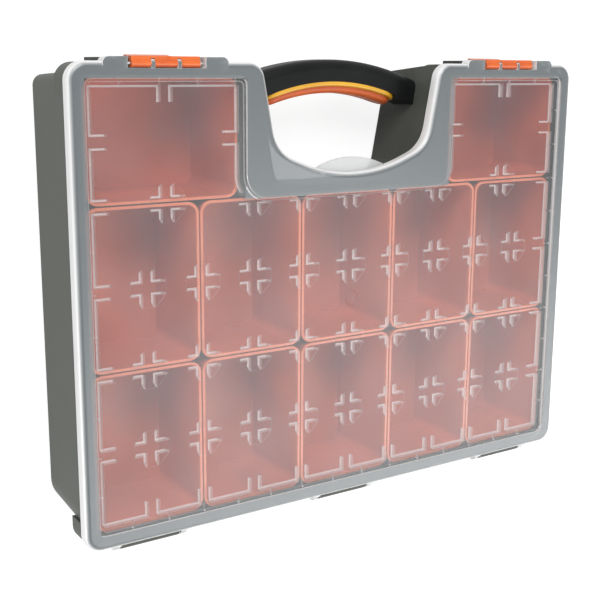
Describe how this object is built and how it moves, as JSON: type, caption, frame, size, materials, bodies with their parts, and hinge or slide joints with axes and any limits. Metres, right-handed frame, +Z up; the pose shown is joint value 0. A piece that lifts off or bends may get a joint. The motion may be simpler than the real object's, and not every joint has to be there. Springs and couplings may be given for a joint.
{
  "type": "small parts organizer",
  "caption": "Portable organizer case with a see-through hinged lid, lift-out bins, snap latches and an arched carrying handle in a hand recess.",
  "frame": {"origin": "centre of the footprint at the underside of the feet, with the case lying on its back", "axes": "+X to the right along the case, +Y to the handle, +Z up through the lid"},
  "size_m": [0.4204, 0.3257, 0.074],
  "materials": {
    "base_grey": "satin moulded",
    "lid_clear": "clear moulded, faintly milky",
    "latch_orange": "satin moulded",
    "bin_orange": "satin moulded",
    "handle_black": "satin moulded",
    "grip_yellow": "satin moulded",
    "grip_orange": "soft moulded",
    "steel": "drawn wire"
  },
  "bodies": {
    "base": {"case_base": "base_grey", "handle_bar": "handle_black", "grip_trim": "grip_yellow", "grip_pad": "grip_orange", "hinge_pin_left": "steel", "hinge_pin_middle": "steel", "hinge_pin_right": "steel"},
    "lid": {"lid": "lid_clear", "latch_pin_left": "steel", "latch_pin_right": "steel"},
    "latch_left": {"latch_left": "latch_orange"},
    "latch_right": {"latch_right": "latch_orange"},
    "bin_top_left": {"bin_top_left": "bin_orange"},
    "bin_top_right": {"bin_top_right": "bin_orange"},
    "bin_mid_1": {"bin_mid_1": "bin_orange"},
    "bin_low_1": {"bin_low_1": "bin_orange"},
    "bin_mid_2": {"bin_mid_2": "bin_orange"},
    "bin_low_2": {"bin_low_2": "bin_orange"},
    "bin_mid_3": {"bin_mid_3": "bin_orange"},
    "bin_low_3": {"bin_low_3": "bin_orange"},
    "bin_mid_4": {"bin_mid_4": "bin_orange"},
    "bin_low_4": {"bin_low_4": "bin_orange"},
    "bin_mid_5": {"bin_mid_5": "bin_orange"},
    "bin_low_5": {"bin_low_5": "bin_orange"}
  },
  "joints": [
    {"name": "lid_hinge", "type": "hinge", "parent": "base", "child": "lid", "pos_m": [0, -0.15865, 0.0605], "axis": [1, 0, 0], "range_deg": [0, 180]},
    {"name": "latch_left_pivot", "type": "hinge", "parent": "lid", "child": "latch_left", "pos_m": [-0.14475, 0.15735, 0.07], "axis": [1, 0, 0], "range_deg": [0, 95]},
    {"name": "latch_right_pivot", "type": "hinge", "parent": "lid", "child": "latch_right", "pos_m": [0.14475, 0.15735, 0.07], "axis": [1, 0, 0], "range_deg": [0, 95]},
    {"name": "bin_top_left_lift", "type": "slide", "parent": "base", "child": "bin_top_left", "axis": [0, 0, 1], "range_m": [0, 0.0676]},
    {"name": "bin_top_right_lift", "type": "slide", "parent": "base", "child": "bin_top_right", "axis": [0, 0, 1], "range_m": [0, 0.0676]},
    {"name": "bin_mid_1_lift", "type": "slide", "parent": "base", "child": "bin_mid_1", "axis": [0, 0, 1], "range_m": [0, 0.0676]},
    {"name": "bin_low_1_lift", "type": "slide", "parent": "base", "child": "bin_low_1", "axis": [0, 0, 1], "range_m": [0, 0.0456]},
    {"name": "bin_mid_2_lift", "type": "slide", "parent": "base", "child": "bin_mid_2", "axis": [0, 0, 1], "range_m": [0, 0.0676]},
    {"name": "bin_low_2_lift", "type": "slide", "parent": "base", "child": "bin_low_2", "axis": [0, 0, 1], "range_m": [0, 0.0456]},
    {"name": "bin_mid_3_lift", "type": "slide", "parent": "base", "child": "bin_mid_3", "axis": [0, 0, 1], "range_m": [0, 0.0676]},
    {"name": "bin_low_3_lift", "type": "slide", "parent": "base", "child": "bin_low_3", "axis": [0, 0, 1], "range_m": [0, 0.0456]},
    {"name": "bin_mid_4_lift", "type": "slide", "parent": "base", "child": "bin_mid_4", "axis": [0, 0, 1], "range_m": [0, 0.0676]},
    {"name": "bin_low_4_lift", "type": "slide", "parent": "base", "child": "bin_low_4", "axis": [0, 0, 1], "range_m": [0, 0.0456]},
    {"name": "bin_mid_5_lift", "type": "slide", "parent": "base", "child": "bin_mid_5", "axis": [0, 0, 1], "range_m": [0, 0.0676]},
    {"name": "bin_low_5_lift", "type": "slide", "parent": "base", "child": "bin_low_5", "axis": [0, 0, 1], "range_m": [0, 0.0456]}
  ],
  "couplings": [
    {"joint": "bin_top_left_lift", "follows": "lid_hinge", "m_per_rad": 0.0215},
    {"joint": "bin_top_right_lift", "follows": "lid_hinge", "m_per_rad": 0.0215},
    {"joint": "bin_mid_1_lift", "follows": "lid_hinge", "m_per_rad": 0.0215},
    {"joint": "bin_low_1_lift", "follows": "lid_hinge", "m_per_rad": 0.0145},
    {"joint": "bin_mid_2_lift", "follows": "lid_hinge", "m_per_rad": 0.0215},
    {"joint": "bin_low_2_lift", "follows": "lid_hinge", "m_per_rad": 0.0145},
    {"joint": "bin_mid_3_lift", "follows": "lid_hinge", "m_per_rad": 0.0215},
    {"joint": "bin_low_3_lift", "follows": "lid_hinge", "m_per_rad": 0.0145},
    {"joint": "bin_mid_4_lift", "follows": "lid_hinge", "m_per_rad": 0.0215},
    {"joint": "bin_low_4_lift", "follows": "lid_hinge", "m_per_rad": 0.0145},
    {"joint": "bin_mid_5_lift", "follows": "lid_hinge", "m_per_rad": 0.0215},
    {"joint": "bin_low_5_lift", "follows": "lid_hinge", "m_per_rad": 0.0145}
  ]
}
